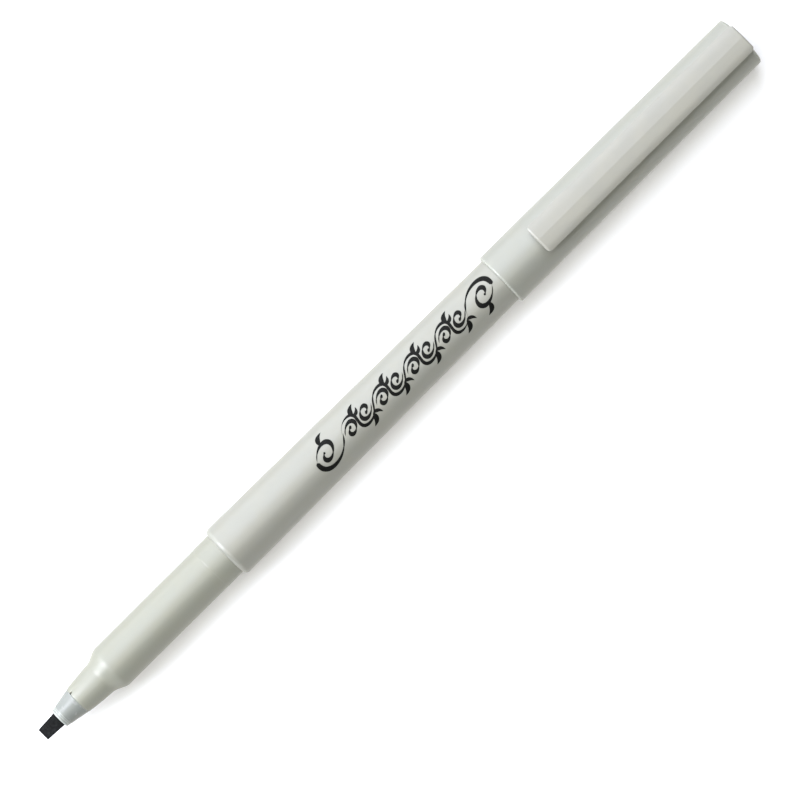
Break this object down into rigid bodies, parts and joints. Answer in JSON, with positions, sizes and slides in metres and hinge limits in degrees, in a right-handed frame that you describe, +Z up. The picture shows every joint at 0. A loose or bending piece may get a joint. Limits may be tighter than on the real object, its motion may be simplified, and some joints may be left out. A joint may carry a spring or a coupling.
{
  "type": "calligraphy marker",
  "caption": "Slim fibre-tip calligraphy marker with a flat chisel nib in a conical holder, a tapered barrel, and a clip cap posted on the rear end.",
  "frame": {"origin": "on the surface that the pen lies on, under the middle of its posted length", "axes": "+X along the pen from the nib to the cap's closed end, +Z up through the clip, +Y across the pen"},
  "size_m": [0.1574, 0.0096, 0.0112],
  "materials": {
    "nib_fibre": "pressed fibre soaked with black ink",
    "holder_plastic": "smooth moulded, slightly clear",
    "grip_plastic": "satin moulded pearl",
    "barrel_plastic": "satin moulded pearl with black printing",
    "reservoir_fibre": "bonded fibre rod soaked with ink",
    "film": "thin clear wrap",
    "cap_plastic": "satin moulded pearl",
    "seal_plastic": "soft moulded",
    "clip_plastic": "satin moulded, slightly warmer than the cap"
  },
  "bodies": {
    "pen": {"barrel": "barrel_plastic", "front_section": "grip_plastic", "nib_holder": "holder_plastic", "nib": "nib_fibre", "barrel_end_plug": "barrel_plastic", "ink_reservoir": "reservoir_fibre", "reservoir_film": "film"},
    "cap": {"cap_shell": "cap_plastic", "cap_liner": "seal_plastic"},
    "clip": {"cap_clip": "clip_plastic"}
  },
  "joints": [
    {"name": "cap_slide", "type": "slide", "parent": "pen", "child": "cap", "axis": [1, 0, 0], "range_m": [0, 0.03]},
    {"name": "clip_flex", "type": "hinge", "parent": "cap", "child": "clip", "pos_m": [0.07725, 0, 0.00928], "axis": [0, 1, 0], "range_deg": [0, 3.5], "stiffness_Nm_per_rad": 0.6}
  ]
}
